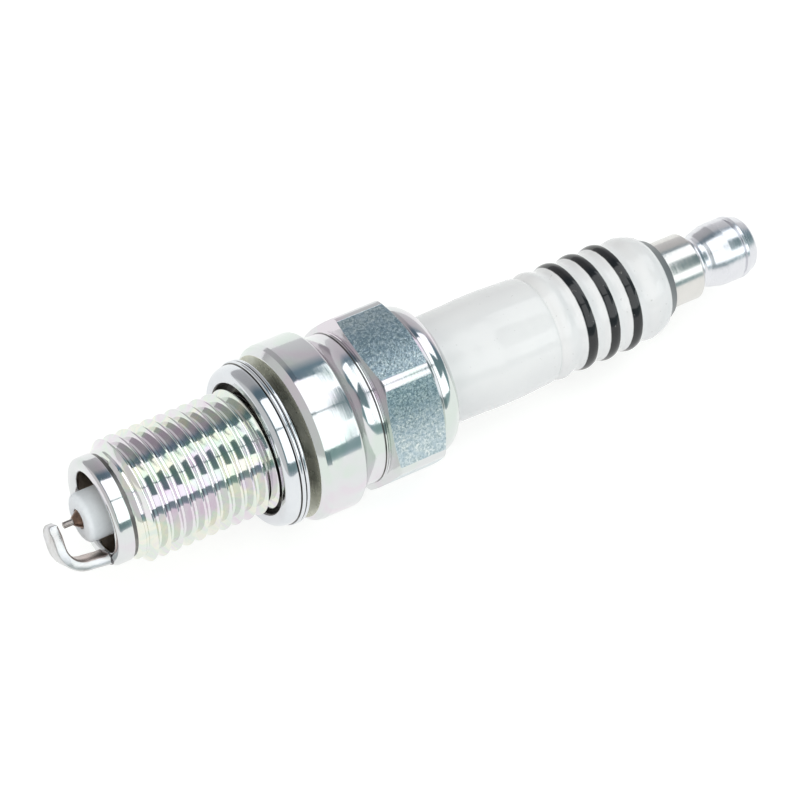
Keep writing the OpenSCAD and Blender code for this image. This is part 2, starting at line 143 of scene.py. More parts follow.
def spun(name, outline, mats, pick=None, seg=ROUND, sharp=40):
    """Turns a closed outline of (r, x) points round the X axis; pick(r, x) chooses a face's material."""
    verts, faces, fm = [], [], []
    rows = len(outline)
    on_axis = [abs(r) < TINY for r, _ in outline]
    index = []
    for (r, x), axis in zip(outline, on_axis):
        if axis:
            index.append([len(verts)] * seg)
            verts.append((x, 0, 0))
        else:
            base = len(verts)
            index.append([base + j for j in range(seg)])
            for j in range(seg):
                a = TAU * j / seg
                verts.append((x, -r * math.sin(a), r * math.cos(a)))
    for i in range(rows):
        k = (i + 1) % rows
        if on_axis[i] and on_axis[k]:
            continue
        for j in range(seg):
            j2 = (j + 1) % seg
            quad = [index[i][j], index[i][j2], index[k][j2], index[k][j]]
            face = [v for n, v in enumerate(quad) if v not in quad[:n]]
            faces.append(face)
            if pick:
                x = (outline[i][1] + outline[k][1]) / 2
                r = (outline[i][0] + outline[k][0]) / 2
                fm.append(pick(r, x))
    obj = link(name, verts, faces, mats, face_mats=fm or None)
    sharpen(obj, sharp)
    return obj


def arc(cr, cx, r, a0, a1, n):
    """n + 1 outline points round (cr, cx), from a0 to a1 degrees; 0 is outwards, 90 is towards +X."""
    return [(cr + r * math.cos(math.radians(a0 + (a1 - a0) * i / n)),
             cx + r * math.sin(math.radians(a0 + (a1 - a0) * i / n))) for i in range(n + 1)]


# ---------------------------------------------------------------- materials

class Tree:
    """Short ways to add nodes; a value may be a number, a colour or another node's output."""

    def __init__(self, owner):
        owner.use_nodes = True
        self.nt = owner.node_tree

    def node(self, kind, **props):
        n = self.nt.nodes.new(kind)
        for k, v in props.items():
            setattr(n, k, v)
        return n

    def link(self, a, b):
        self.nt.links.new(a, b)

    def ramp(self, fac, stops):
        """A colour from (place, colour) stops."""
        n = self.node("ShaderNodeValToRGB")
        el = n.color_ramp.elements
        while len(el) < len(stops):
            el.new(0.5)
        for e, (pos, col) in zip(el, stops):
            e.position = pos
            e.color = (*col, 1)
        self.link(fac, n.inputs["Fac"])
        return n.outputs["Color"]

    def math(self, op, a, b=None, c=None):
        """One step of arithmetic."""
        n = self.node("ShaderNodeMath", operation=op)
        for i, v in enumerate((a, b, c)):
            if v is None:
                continue
            if isinstance(v, (int, float)):
                n.inputs[i].default_value = v
            else:
                self.link(v, n.inputs[i])
        return n.outputs["Value"]

    def span(self, fac, a0, a1, b0, b1):
        """fac from a0..a1 spread over b0..b1, and held there beyond its ends."""
        n = self.node("ShaderNodeMapRange")
        n.inputs["From Min"].default_value = a0
        n.inputs["From Max"].default_value = a1
        n.inputs["To Min"].default_value = b0
        n.inputs["To Max"].default_value = b1
        self.link(fac, n.inputs["Value"])
        return n.outputs["Result"]

    def mix(self, fac, a, b):
        """The colour a where fac is 0, and b where it is 1."""
        n = self.node("ShaderNodeMix", data_type="RGBA")
        for i, v in ((0, fac), (6, a), (7, b)):
            if isinstance(v, (int, float)):
                n.inputs[i].default_value = v
            elif isinstance(v, tuple):
                n.inputs[i].default_value = (*v, 1)
            else:
                self.link(v, n.inputs[i])
        return n.outputs[2]


class Mat(Tree):
    """A node material built step by step round one Principled shader."""

    def __init__(self, name, **sockets):
        self.mat = bpy.data.materials.new(name)
        super().__init__(self.mat)
        self.bsdf = self.nt.nodes["Principled BSDF"]
        for key, value in sockets.items():
            self.bsdf.inputs[key.replace("_", " ")].default_value = value
        self.coord = self.node("ShaderNodeTexCoord")
        self.last_normal = None

    def space(self, scale):
        """The object's own coordinates, stretched by a scale for each axis."""
        m = self.node("ShaderNodeMapping")
        m.inputs["Scale"].default_value = scale
        self.link(self.coord.outputs["Object"], m.inputs["Vector"])
        return m.outputs["Vector"]

    def noise(self, scale, detail=4, rough=0.55, stretch=(1, 1, 1), distortion=0.0):
        n = self.node("ShaderNodeTexNoise")
        n.inputs["Scale"].default_value = scale
        n.inputs["Detail"].default_value = detail
        n.inputs["Roughness"].default_value = rough
        n.inputs["Distortion"].default_value = distortion
        self.link(self.space(stretch), n.inputs["Vector"])
        return n.outputs["Fac"]

    def along(self):
        """The place along the plug's axis, in metres."""
        n = self.node("ShaderNodeSeparateXYZ")
        self.link(self.coord.outputs["Object"], n.inputs["Vector"])
        return n.outputs["X"]

    def band(self, x, lo, hi, soft=0.00004):
        """1 between lo and hi along x, in metres."""
        a = self.span(x, lo - soft, lo + soft, 0, 1)
        b = self.span(x, hi - soft, hi + soft, 1, 0)
        return self.math("MULTIPLY", a, b)

    def bump(self, height, strength, distance):
        """Adds to the bumps set before; distance is in metres."""
        n = self.node("ShaderNodeBump")
        n.inputs["Strength"].default_value = strength
        n.inputs["Distance"].default_value = distance
        self.link(height, n.inputs["Height"])
        if self.last_normal is not None:
            self.link(self.last_normal, n.inputs["Normal"])
        self.last_normal = n.outputs["Normal"]
        self.link(self.last_normal, self.bsdf.inputs["Normal"])

    def set(self, name, out):
        """Feeds a socket of the shader."""
        self.link(out, self.bsdf.inputs[name])


def turned_metal(name, light, dark, rough, marks):
    """Plated or bare turned metal: fine turning marks, cloudy tone and uneven gloss."""
    m = Mat(name, Metallic=1.0)
    cloud = m.noise(260, 5, 0.6)
    m.set("Base Color", m.mix(m.span(cloud, 0.3, 0.7, 0, 0.5), light, dark))
    fine = m.noise(1500, 4, 0.6, stretch=(2.5, 0.25, 0.25))
    m.set("Roughness", m.span(fine, 0.3, 0.7, rough * 0.75, rough * 1.35))
    ring = m.noise(420, 3, 0.5, stretch=(14, 0.6, 0.6))
    m.bump(ring, marks, 0.00002)
    return m


def mat_shell():
    """Bright plating with a faint pink and green film."""
    m = turned_metal("plated_shell", (0.70, 0.71, 0.725), (0.64, 0.655, 0.67), 0.1, 0.1)
    plain = m.bsdf.inputs["Base Color"].links[0].from_socket
    tones = m.ramp(m.noise(170, 3, 0.5, distortion=0.8),
                  [(0.36, (0.72, 0.64, 0.70)), (0.47, (0.70, 0.70, 0.71)), (0.53, (0.69, 0.70, 0.70)),
                   (0.64, (0.64, 0.71, 0.65))])
    m.set("Base Color", m.mix(0.7, plain, tones))
    return m.mat


def mat_thread():
    """The same plating on the rolled thread, where the film's colours are stronger."""
    m = Mat("plated_thread", Metallic=1.0)
    tint = m.noise(330, 3, 0.5, stretch=(0.8, 1, 1), distortion=0.6)
    tones = m.ramp(tint, [(0.30, (0.74, 0.66, 0.73)), (0.42, (0.75, 0.72, 0.75)), (0.5, (0.70, 0.76, 0.70)),
                         (0.58, (0.80, 0.79, 0.70)), (0.7, (0.73, 0.68, 0.76))])
    m.set("Base Color", tones)
    fine = m.noise(1400, 4, 0.6)
    m.set("Roughness", m.span(fine, 0.3, 0.7, 0.04, 0.10))
    m.bump(m.noise(700, 4, 0.6), 0.1, 0.00002)
    return m.mat


def mat_flats():
    """The hexagon's flats: etched, grainy and blue-grey."""
    m = Mat("hexagon_flats", Metallic=1.0)
    pit = m.noise(4300, 4, 0.7, distortion=0.5)
    big = m.noise(1300, 4, 0.65, distortion=0.6)
    col = m.ramp(pit, [(0.34, (0.24, 0.32, 0.35)), (0.5, (0.51, 0.60, 0.62)), (0.64, (0.84, 0.87, 0.86))])
    col = m.mix(m.span(big, 0.4, 0.62, 0, 0.45), col, (0.40, 0.51, 0.60))
    m.set("Base Color", col)
    m.set("Roughness", m.span(pit, 0.35, 0.65, 0.14, 0.22))
    m.bump(pit, 0.4, 0.00003)
    m.bump(big, 0.12, 0.00006)
    return m.mat


RIB_FIRST, RIB_PITCH = 29.17, 2.57
BAND_AT, BAND_HALF = -0.17, 0.5      # the painted band's centre, from the rib's crest, and half its width
BANDED_RIBS = (1, 2, 3)
VALLEY_R = 5.04                      # between the ribs
DARK_END_BAND = (41.3, 42.6)              # where along X the insulator is dark grey, near its end


def mat_insulator():
    """White glaze with three dark bands, a dark grey band near the end and a few specks."""
    m = Mat("glazed_insulator", IOR=1.5, Coat_Weight=0.0)
    tone = m.noise(120, 3, 0.5)
    white = m.mix(m.span(tone, 0.35, 0.65, 0, 1), (0.80, 0.775, 0.765), (0.84, 0.815, 0.80))
    wob = m.math("MULTIPLY_ADD", m.noise(1100, 3, 0.6), 0.00008, m.along())
    wob = m.math("SUBTRACT", wob, 0.00004)
    rings = None
    for k in BANDED_RIBS:
        c = (RIB_FIRST + BAND_AT + k * RIB_PITCH) * MM
        b = m.band(wob, c - BAND_HALF * MM, c + BAND_HALF * MM)
        rings = b if rings is None else m.math("MAXIMUM", rings, b)
    col = m.mix(rings, white, m.mix(m.noise(800, 3), (0.006, 0.006, 0.007), (0.02, 0.02, 0.022)))
    # a dark grey, rougher band near the insulator's end
    end = m.band(wob, DARK_END_BAND[0] * MM, DARK_END_BAND[1] * MM)
    col = m.mix(end, col, (0.13, 0.14, 0.145))
    speck = m.noise(2600, 2, 0.5)
    col = m.mix(m.span(speck, 0.7, 0.76, 0, 0.35), col, (0.35, 0.33, 0.3))
    m.set("Base Color", col)
    gloss = m.noise(600, 3, 0.5)
    rough = m.span(gloss, 0.3, 0.7, 0.05, 0.12)
    rough = m.math("ADD", rough, m.math("MULTIPLY", end, 0.3))
    m.set("Roughness", rough)
    m.bump(m.noise(240, 3, 0.5), 0.12, 0.0001)
    return m.mat


def mat_nose():
    """The matte ceramic at the firing end."""
    m = Mat("bare_nose", Roughness=0.6)
    grain = m.noise(2400, 4, 0.6)
    col = m.mix(m.span(grain, 0.35, 0.65, 0, 1), (0.76, 0.775, 0.79), (0.81, 0.825, 0.84))
    m.set("Base Color", col)
    m.set("Roughness", m.span(grain, 0.3, 0.7, 0.45, 0.6))
    m.bump(grain, 0.1, 0.00003)
    return m.mat


def mat_strap(name, low, middle, high):
    """Drawn nickel, streaked along the plug's axis."""
    m = Mat(name, Metallic=1.0)
    streak = m.noise(900, 5, 0.65, stretch=(0.35, 1, 1))
    col = m.ramp(streak, [(0.3, low), (0.5, middle), (0.7, high)])
    m.set("Base Color", col)
    m.set("Roughness", m.span(streak, 0.3, 0.7, 0.24, 0.38))
    m.bump(m.noise(1800, 4, 0.6, stretch=(0.4, 1, 1)), 0.3, 0.00003)
    return m.mat


def plain_grain(name, light, dark, rough, scale=900, metallic=0.0, bump=0.3):
    """An even grain between two tones, with its own gloss and bump."""
    m = Mat(name, Metallic=metallic)
    grain = m.noise(scale, 5, 0.6)
    m.set("Base Color", m.mix(m.span(grain, 0.3, 0.7, 0, 1), light, dark))
    m.set("Roughness", m.span(grain, 0.3, 0.7, rough * 0.8, rough * 1.2))
    m.bump(grain, bump, 0.00004)
    return m.mat


M_SHELL = mat_shell()
M_THREAD = mat_thread()
M_FLATS = mat_flats()
M_INS = mat_insulator()
M_NOSE = mat_nose()
M_STRAP = mat_strap("strap_nickel", (0.52, 0.49, 0.49), (0.65, 0.645, 0.64), (0.76, 0.74, 0.79))
M_STRAP_INNER = mat_strap("strap_heat_tint", (0.40, 0.30, 0.27), (0.55, 0.46, 0.43), (0.68, 0.60, 0.58))
M_GASKET = turned_metal("gasket_steel", (0.74, 0.75, 0.78), (0.60, 0.63, 0.67), 0.1, 0.06).mat
M_STUD = turned_metal("stud_nickel", (0.72, 0.70, 0.68), (0.60, 0.585, 0.57), 0.19, 0.08).mat
M_NUT = turned_metal("nut_metal", (0.76, 0.755, 0.79), (0.64, 0.64, 0.68), 0.22, 0.04).mat
M_ELECTRODE = plain_grain("electrode_nickel", (0.24, 0.15, 0.11), (0.11, 0.075, 0.06), 0.26, 2200, 1.0)
M_TIP = plain_grain("iridium", (0.44, 0.40, 0.38), (0.24, 0.21, 0.20), 0.2, 2600, 1.0)
M_WELD = plain_grain("weld", (0.30, 0.28, 0.28), (0.12, 0.12, 0.13), 0.45, 1600, 1.0, 0.6)
# painted reflection and shade: an olive tint for the seat face, in the gap behind the gasket
M_SEAT_REFLECTION = plain_grain("seat_painted_reflection", (0.80, 0.79, 0.66), (0.48, 0.48, 0.38), 0.26, 500, 0.6)
# painted shade: a dark colour for the neck, the groove behind the land, the fine grooves before the hexagon,
# and the gasket's inside and folds
M_PAINTED_SHADE = plain_grain("painted_shade", (0.22, 0.21, 0.20), (0.10, 0.10, 0.10), 0.35, 700, 1.0)
M_BORE = plain_grain("shell_bore", (0.46, 0.39, 0.31), (0.26, 0.21, 0.18), 0.4, 900, 1.0)


# ---------------------------------------------------------------- shell

# in mm: a name with R is a radius, and a START, END or X is a place along X from the gasket seat
RIM, RIM_ROUND = -19.0, 0.6
LAND_R, LAND_END = 5.17, -17.45      # the smooth land in front of the thread
CORE_R = 4.97                        # under the thread
THREAD_START, THREAD_END = -17.15, -2.7
THREAD_TURN = 180.0                  # the start angle of the CAD helix
THREAD_FLOOR = 4.6                   # where the thread's ends run into the core
NECK_R = 5.2
CREST_R, ROOT_R, PITCH = 6.0, 5.275, 1.25  # M12 x 1.25
SEAT_R, COLLAR_R, COLLAR_LEN = 7.95, 8.62, 4.3
WAIST_R, WAIST_X = 7.4, 6.6
HEX_X, HEX_END, HEX_R = 7.6, 13.4, 8.0  # HEX_R is half the distance across the flats
CORNER_ROUND, CORNER_ARC = 1.3, 25.2  # a corner's radius, and half its arc in degrees
CROWN = 0.16                         # how far the flats fall towards the corners
CORNER_AT = (HEX_R - CORNER_ROUND) / COS30
CORNER_R = CORNER_AT + CORNER_ROUND
WASHER_R, REAR_R = 7.55, 7.55        # where the hexagon's front and rear faces start
CRIMP_R, CRIMP_END = 7.5, 16.0
STEM_R = 5.37
BORE_R = 3.83
NOSE_OUT, TIP_OUT, SPARK_GAP = 1.4, 1.55, 0.7  # nose past the rim, wire past the nose, gap past the wire


def shell_front():
    """The bore's mouth, the rim, the land, and the core and the neck behind it."""
    groove_end = LAND_END + 0.4
    pts = [(LAND_R, RIM), (LAND_R, LAND_END), (CORE_R, LAND_END), (CORE_R, groove_end), (CORE_R, THREAD_END),
           (NECK_R, THREAD_END), (NECK_R, -0.05), (BORE_R, -0.05), (BORE_R, RIM)]
    rad = [RIM_ROUND, 0.08, 0.05, 0, 0, 0.1, 0, 0, RIM_ROUND]

    def tones(r, x):
        """Which material a face takes: the bore is browned, and the neck and the groove behind the land get
        painted shade, a dark colour where shade falls.
        """
        if r < BORE_R + 0.02:
            return int(x > RIM + RIM_ROUND)
        return 2 if x > THREAD_END or (LAND_END < x < groove_end and r < CORE_R + 0.1) else 0
    obj = spun("shell_front", rounded(pts, rad, 12), [M_SHELL, M_BORE, M_PAINTED_SHADE], pick=tones)
    place(obj, ["metal_shell"])


def thread_mesh(name, crest, root, pitch, start, end, env, mats, around=192):
    """A right-hand helical surface; env(x) limits its radius, so that both ends run into the core."""
    flat = pitch / 8
    flank = (crest - root) * TAN30
    # one pitch of the profile, rounded, from crest to crest
    profile = [(-flank, root), (0, crest), (flat, crest), (flat + flank, root), (pitch - flank, root)]
    soft = rounded(profile, [0, 0.07, 0.07, 0.1, 0], 4)
    ring = [p for p in soft if p[0] < pitch - flank - TINY]
    turns = math.ceil((end - start) / pitch) + 3
    x0 = start - 1.6 * pitch
    verts, faces = [], []
    rows = len(ring) * turns
    n = len(ring)
    for j in range(around):
        a = TAU * j / around
        for i in range(rows):
            o, r = ring[i % n]
            x = x0 + pitch * (i // n + j / around) + o
            rr = min(r, env(x))
            # the plug's right-hand screw: the angle runs from +Z towards -Y as x grows
            ang = a + math.radians(THREAD_TURN)
            verts.append((x, -rr * math.sin(ang), rr * math.cos(ang)))
    for j in range(around - 1):
        for i in range(rows - 1):
            a = j * rows + i
            faces.append((a, a + 1, a + rows + 1, a + rows))
    last = (around - 1) * rows
    for i in range(rows - 1 - n):
        a = last + i
        b = i + n
        faces.append((a, a + 1, b + 1, b))
    # the buried ends are dropped, and so are the points that only they use
    faces = [f for f in faces if start - 0.3 < sum(verts[v][0] for v in f) / 4 < end + 0.8]
    used = sorted({v for f in faces for v in f})
    place_of = {v: i for i, v in enumerate(used)}
    verts = [verts[v] for v in used]
    faces = [tuple(place_of[v] for v in f) for f in faces]
    obj = link(name, verts, faces, mats)
    sharpen(obj, 50)
    return obj


def shell_thread():
    """The M12 x 1.25 thread, which rises out of the core and runs into the neck."""
    tail_end = THREAD_END + 0.1

    def env(x):
        """The most that the thread may stand out at x."""
        if x < THREAD_START:
            return THREAD_FLOOR
        lead = CORE_R - 0.1 + (x - THREAD_START)
        tail = NECK_R - 0.1 + (tail_end - x) * 1.5 if x <= tail_end else 4.8
        return max(THREAD_FLOOR, min(lead, tail))
    obj = thread_mesh("shell_thread", CREST_R, ROOT_R, PITCH, THREAD_START, THREAD_END, env, [M_THREAD])
    place(obj, ["metal_shell"])


def shell_collar():
    """The seat, the collar and the buckled waist up to the hexagon."""
    pts = [(NECK_R, 0), (SEAT_R, 0), (COLLAR_R - 0.13, 0.6), (COLLAR_R, 1.05), (COLLAR_R, COLLAR_LEN - 0.1)]
    rad = [0, 0.2, 0.12, 0.06, 0.0]
    out = rounded(pts, rad, 8)
    # the collar's rear shoulder, and the hollow down to the waist
    out += arc(COLLAR_R - 0.35, COLLAR_LEN - 0.1, 0.35, 8, 62, 6)
    r0, x0 = out[-1]
    for i in range(1, 17):
        t = i / 16
        out.append((WAIST_R + (r0 - WAIST_R) * (1 - t) ** 2, x0 + (WAIST_X - x0) * t))
    # two fine turned steps in front of the hexagon
    out += [(WAIST_R, HEX_X - 0.45), (WAIST_R - 0.07, HEX_X - 0.4), (WAIST_R - 0.07, HEX_X - 0.34),
            (WAIST_R + 0.03, HEX_X - 0.29), (WAIST_R + 0.05, HEX_X - 0.18), (WAIST_R - 0.03, HEX_X - 0.13),
            (WAIST_R - 0.03, HEX_X - 0.08), (WAIST_R + 0.1, HEX_X)]
    out += [(WASHER_R - 0.05, HEX_X + 0.05), (6.3, HEX_X + 0.05), (6.3, 4.0), (NECK_R, 4.0)]

    def tones(r, x):
        """Which material a face takes: the seat gets a painted reflection and shade, an olive tint, and the
        two fine grooves get painted shade, a dark colour where shade falls.
        """
        if x < 0.02:
            return 1
        return 2 if HEX_X - 0.41 < x < HEX_X - 0.30 or HEX_X - 0.14 < x < HEX_X - 0.04 else 0
    obj = spun("shell_collar", out, [M_SHELL, M_SEAT_REFLECTION, M_PAINTED_SHADE], pick=tones)
    place(obj, ["metal_shell"])


def ball(r0, x0, r1, x1):
    """x on a ball centred on the axis, whose surface passes through two points, for any radius."""
    cx = (r1 * r1 - r0 * r0 + x1 * x1 - x0 * x0) / (2 * (x1 - x0))
    size = math.hypot(r0, x0 - cx)
    sign = -1 if x0 < cx else 1
    return lambda r: cx + sign * math.sqrt(size * size - r * r)


def hexagon():
    """Six crowned flats and rounded corners, cut to balls in front and behind."""
    front_x = ball(WASHER_R, HEX_X, CORNER_R, HEX_X + 0.5)
    rear_x = ball(REAR_R, HEX_END, CORNER_R, HEX_END - 0.7)
    half = (HEX_R - CORNER_ROUND) * TAN30
    inside_r = 6.4
    # points round the hexagon, and whether the face that starts at each is part of a flat
    cols = []
    across, corner = 24, 9
    for f in range(6):
        turn_f = math.radians(60 * f)
        for k in range(across):
            u = -half + 2 * half * k / across
            v = HEX_R - CROWN * (u / half) ** 2
            cols.append((u * math.cos(turn_f) + v * math.sin(turn_f),
                         v * math.cos(turn_f) - u * math.sin(turn_f), True))
        mid = turn_f + math.radians(30)
        for k in range(corner + 1):
            a = mid + math.radians(-CORNER_ARC + 2 * CORNER_ARC * k / corner)
            cols.append(((CORNER_AT - CROWN) * math.sin(mid) + CORNER_ROUND * math.sin(a),
                         (CORNER_AT - CROWN) * math.cos(mid) + CORNER_ROUND * math.cos(a), False))
    verts, faces, fm = [], [], []
    lip, flat = 4, 4
    for side, top, _ in cols:
        r = math.hypot(side, top)
        s, c = -side / r, top / r
        ring = [(inside_r, HEX_X)]
        ring += [(q, front_x(q)) for q in (WASHER_R + (r - WASHER_R) * i / lip for i in range(lip))]
        fx, rx = front_x(r), rear_x(r)
        ring += [(r, fx + (rx - fx) * i / flat) for i in range(flat + 1)]
        ring += [(q, rear_x(q)) for q in (r + (REAR_R - r) * i / lip for i in range(1, lip + 1))]
        ring += [(inside_r, HEX_END)]
        verts += [(x, rr * s, rr * c) for rr, x in ring]
    rows = len(ring)
    n = len(cols)
    for j in range(n):
        k = (j + 1) % n
        for i in range(rows - 1):
            faces.append((j * rows + i, j * rows + i + 1, k * rows + i + 1, k * rows + i))
            fm.append(1 if cols[j][2] and lip + 1 <= i <= lip + flat else 0)
    obj = link("hexagon", verts, faces, [M_SHELL, M_FLATS], face_mats=fm)
    sharpen(obj, 20)
    bev = obj.modifiers.new("edge", "BEVEL")
    bev.width = 0.07 * MM
    bev.segments = 3
    bev.limit_method = "ANGLE"
    bev.angle_limit = math.radians(20)
    bev.harden_normals = True
    place(obj, ["metal_shell"])


def crimp():
    """The rear lip, rolled in over the insulator."""
    top = HEX_END + 0.65
    out = [(6.2, HEX_END - 0.4), (CRIMP_R - 0.30, HEX_END - 0.3), (CRIMP_R - 0.30, HEX_END + 0.14),
           (CRIMP_R - 0.25, HEX_END + 0.22), (CRIMP_R - 0.13, HEX_END + 0.35),
           (CRIMP_R - 0.09, HEX_END + 0.47), (CRIMP_R - 0.07, top)]
    rise = CRIMP_R - 0.07 - STEM_R - 0.12
    for i in range(1, 25):
        a = math.radians(90 * i / 24)
        out.append((STEM_R + 0.12 + rise * math.cos(a), top + (CRIMP_END - top) * math.sin(a)))
    out += [(STEM_R + 0.05, CRIMP_END - 0.05), (STEM_R + 0.05, CRIMP_END - 0.8), (6.2, CRIMP_END - 1.4)]
    obj = spun("crimp", out, [M_SHELL])
    place(obj, ["metal_shell"])


# ---------------------------------------------------------------- gasket

def gasket():
    """Sheet steel folded into two thin rear layers and one fat front roll."""
    back = -1.1
    front = back - 2.2
    crest, crown = 7.84, 2.2             # the roll's outer radius, and how square its shoulder is
    roll_at, roll_in = back - 0.95, 7.15
    out = [(5.55, back), (7.7, back)]
    out += arc(7.82, back - 0.21, 0.21, 90, -80, 10)
    out += arc(7.84, back - 0.63, 0.21, 80, -80, 10)
    out += [(7.76, back - 0.88)]
    for i in range(25):
        a = math.radians(90 * i / 24)
        out.append((roll_in + (crest - roll_in) * math.cos(a) ** (2 / crown),
                    roll_at + (front - roll_at) * math.sin(a) ** (2 / crown)))
    out += arc(6.7, front + 0.35, 0.35, -90, -180, 8)
    out += [(6.35, back - 0.85), (6.3, back - 0.72), (5.55, back - 0.7)]

    def dark(r, x):
        """The inside and the two folds get painted shade, a dark colour where shade falls."""
        return int(r < 6.5 or abs(x - back + 0.42) < 0.07 or abs(x - back + 0.89) < 0.07)
    obj = spun("gasket_ring", out, [M_GASKET, M_PAINTED_SHADE], pick=dark)
    place(obj, ["gasket"], "gasket")


# ---------------------------------------------------------------- insulator

def insulator():
    """The glazed stem with its ribs, and the bare nose."""
    last = RIB_FIRST + 4 * RIB_PITCH
    out = [(1.1, 15.6), (STEM_R, 14.9), (STEM_R, 17.9), (5.4, 19.9), (5.49, 21.9), (5.49, 24.0), (5.44, 25.3),
           (5.37, 26.5), (5.32, 27.4), (5.24, 28.0)]
    smooth, steps = [], 6
    key = out[2:]
    for (r0, x0), (r1, x1) in zip(key, key[1:]):
        for k in range(steps):
            t = k / steps
            smooth.append((r0 + (r1 - r0) * (3 * t * t - 2 * t ** 3), x0 + (x1 - x0) * t))
    out = out[:2] + smooth
    # five low ribs, of which the last is lower
    x = RIB_FIRST - RIB_PITCH * 0.4
    while x < last + 0.2:
        w = 0.5 + 0.5 * math.cos(TAU * (x - RIB_FIRST) / RIB_PITCH)
        crest = 5.4 if x < last - RIB_PITCH / 2 else 5.18
        out.append((VALLEY_R + (crest - VALLEY_R) * w, x))
        x += 0.08
    out += [(5.12, 39.85), (5.03, 40.25), (4.9, 40.65), (4.74, 41.0), (4.5, 41.26), (4.42, 41.34)]
    out += [(3.9, 42.26), (3.78, FLANGE_AT), (1.95, FLANGE_AT), (1.95, 15.6)]
    obj = spun("insulator_stem", out, [M_INS], sharp=30)
    place(obj, ["insulator"])

    tip_x = RIM - NOSE_OUT
    bore, tip_r, tip_round = 0.98, 2.35, 0.55
    nose = [(bore, tip_x)] + arc(tip_r - tip_round, tip_x + tip_round, tip_round, -90, 0, 10)
    nose += [(tip_r, -17.8), (3.5, -7.6), (3.7, -5.9), (3.7, -5.5), (bore, -5.5)]
    obj = spun("insulator_nose", nose, [M_NOSE])
    place(obj, ["insulator"])


# ---------------------------------------------------------------- firing end

TIP_X = RIM - NOSE_OUT - TIP_OUT
STRAP_ANGLE = 140.0                                   # the root's place round X, from +Z towards -Y
STRAP_W, STRAP_T, STRAP_ROOT = 2.45, 1.0, 4.7         # width, thickness and the root's outer radius
STRAP_OVER, STRAP_END_W, STRAP_TAPER = 0.5, 1.3, 1.0  # reach past the axis, end width, taper's length
STRAP_BEND, STRAP_EDGE = 2.85, 0.16                   # the bend's outer radius, the long edges' rounding


def electrode():
    """The centre electrode's cone and the iridium wire."""
    nose = RIM - NOSE_OUT
    end = nose - 0.62
    cone = [(0, end), (0.4, end), (0.48, end + 0.12), (0.82, nose - 0.06), (0.91, nose + 0.02),
            (0.95, nose + 0.2), (0.95, nose + 2), (0, nose + 2)]
    rad = [0, 0.08, 0.1, 0.1, 0.1, 0.1, 0, 0]
    obj = spun("centre_electrode_nose", rounded(cone, rad, 5), [M_ELECTRODE], seg=96)
    place(obj, ["centre_electrode"])
    tip = [(0, TIP_X), (0.3, TIP_X), (0.3, end - 0.05), (0.38, end + 0.02), (0.3, end + 0.3), (0, end + 0.3)]
    obj = spun("iridium_wire", rounded(tip, [0, 0.05, 0.1, 0.05, 0, 0], 5), [M_TIP], seg=64)
    place(obj, ["iridium_tip"])


def strap_outline():
    """The strap from the side, as (r, x) points, and the first of them on its inner face."""
    in_x = TIP_X - SPARK_GAP
    out_x = in_x - STRAP_T
    bend, root, over = STRAP_BEND, STRAP_ROOT, STRAP_OVER
    cx, cr = out_x + bend, root - 0.2 - bend
    level = [STRAP_TAPER - over, (STRAP_TAPER - over) / 2, 0]
    pts = [(root, RIM), (root - 0.03, RIM - 0.5)]
    pts += arc(cr, cx, bend, 0, -90, 24)
    pts += [(r, out_x) for r in level]
    pts += [(-over + 0.25, out_x + 0.08), (-over + 0.06, out_x + 0.22), (-over, out_x + 0.4),
            (-over, in_x - 0.16), (-over + 0.05, in_x - 0.05), (-over + 0.16, in_x)]
    inner_from = len(pts) - 1
    pts += [(r, in_x) for r in reversed(level)]
    pts += arc(cr, cx, bend - STRAP_T, -90, 0, 20)
    pts += [(root - STRAP_T - 0.03, RIM - 0.5), (root - STRAP_T, RIM)]
    return pts, inner_from


def strap_share(r):
    """Share of the strap's full width at a radius, less than 1 over the tapered end."""
    end = STRAP_END_W / STRAP_W
    return min(1, end + (1 - end) * (r + STRAP_OVER) / STRAP_TAPER)


